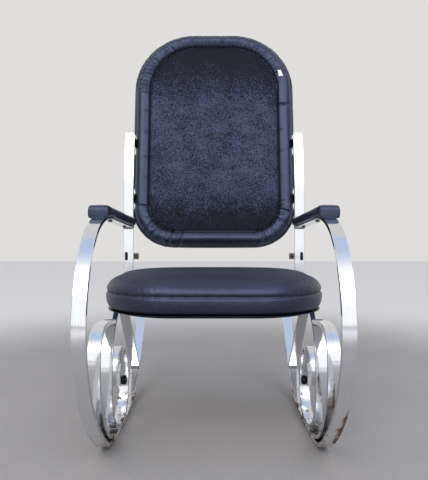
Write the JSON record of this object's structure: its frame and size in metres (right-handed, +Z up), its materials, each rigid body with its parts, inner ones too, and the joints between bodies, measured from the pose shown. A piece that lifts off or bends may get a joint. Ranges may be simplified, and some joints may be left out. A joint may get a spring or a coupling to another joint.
{
  "type": "rocking chair",
  "caption": "Rocking chair with side frames of flat chromed bar bent into bows and scrolls, a padded vinyl seat, a tall padded back with rounded corners, and padded arm rests.",
  "frame": {"origin": "on the floor, under the middle of the overall bounding box", "axes": "the sitter faces -Y, +X is to the right of someone who stands in front and looks at the chair, +Z is up"},
  "size_m": [0.58, 0.9182, 1.1828],
  "materials": {
    "chrome": "polished",
    "steel": "dull",
    "rusted_steel": "matt",
    "vinyl": "satin",
    "cloth": "matt",
    "plywood": "matt"
  },
  "bodies": {
    "root": {"outer_bow_left": "chrome", "inner_bow_left": "chrome", "mid_bow_left": "chrome", "rear_brace_left": "chrome", "arm_screw_left_1": "steel", "seat_screw_left_1": "steel", "arm_screw_left_2": "steel", "seat_screw_left_2": "steel", "scroll_pin_left": "rusted_steel", "lug_left": "steel", "lug_bolt_left": "rusted_steel", "slot_plug_left": "steel", "arm_board_left": "plywood", "arm_pad_left": "vinyl", "back_bracket_left_1": "steel", "back_screw_left_1": "steel", "back_bracket_left_2": "steel", "back_screw_left_2": "steel", "outer_bow_right": "chrome", "inner_bow_right": "chrome", "mid_bow_right": "chrome", "rear_brace_right": "chrome", "arm_screw_right_1": "steel", "seat_screw_right_1": "steel", "arm_screw_right_2": "steel", "seat_screw_right_2": "steel", "scroll_pin_right": "rusted_steel", "lug_right": "steel", "lug_bolt_right": "rusted_steel", "slot_plug_right": "steel", "arm_board_right": "plywood", "arm_pad_right": "vinyl", "back_bracket_right_1": "steel", "back_screw_right_1": "steel", "back_bracket_right_2": "steel", "back_screw_right_2": "steel", "seat_board": "plywood", "seat_cushion": "vinyl", "seat_dust_cover": "cloth", "back_board": "plywood", "back_cushion": "vinyl", "back_panel": "vinyl"}
  },
  "joints": []
}
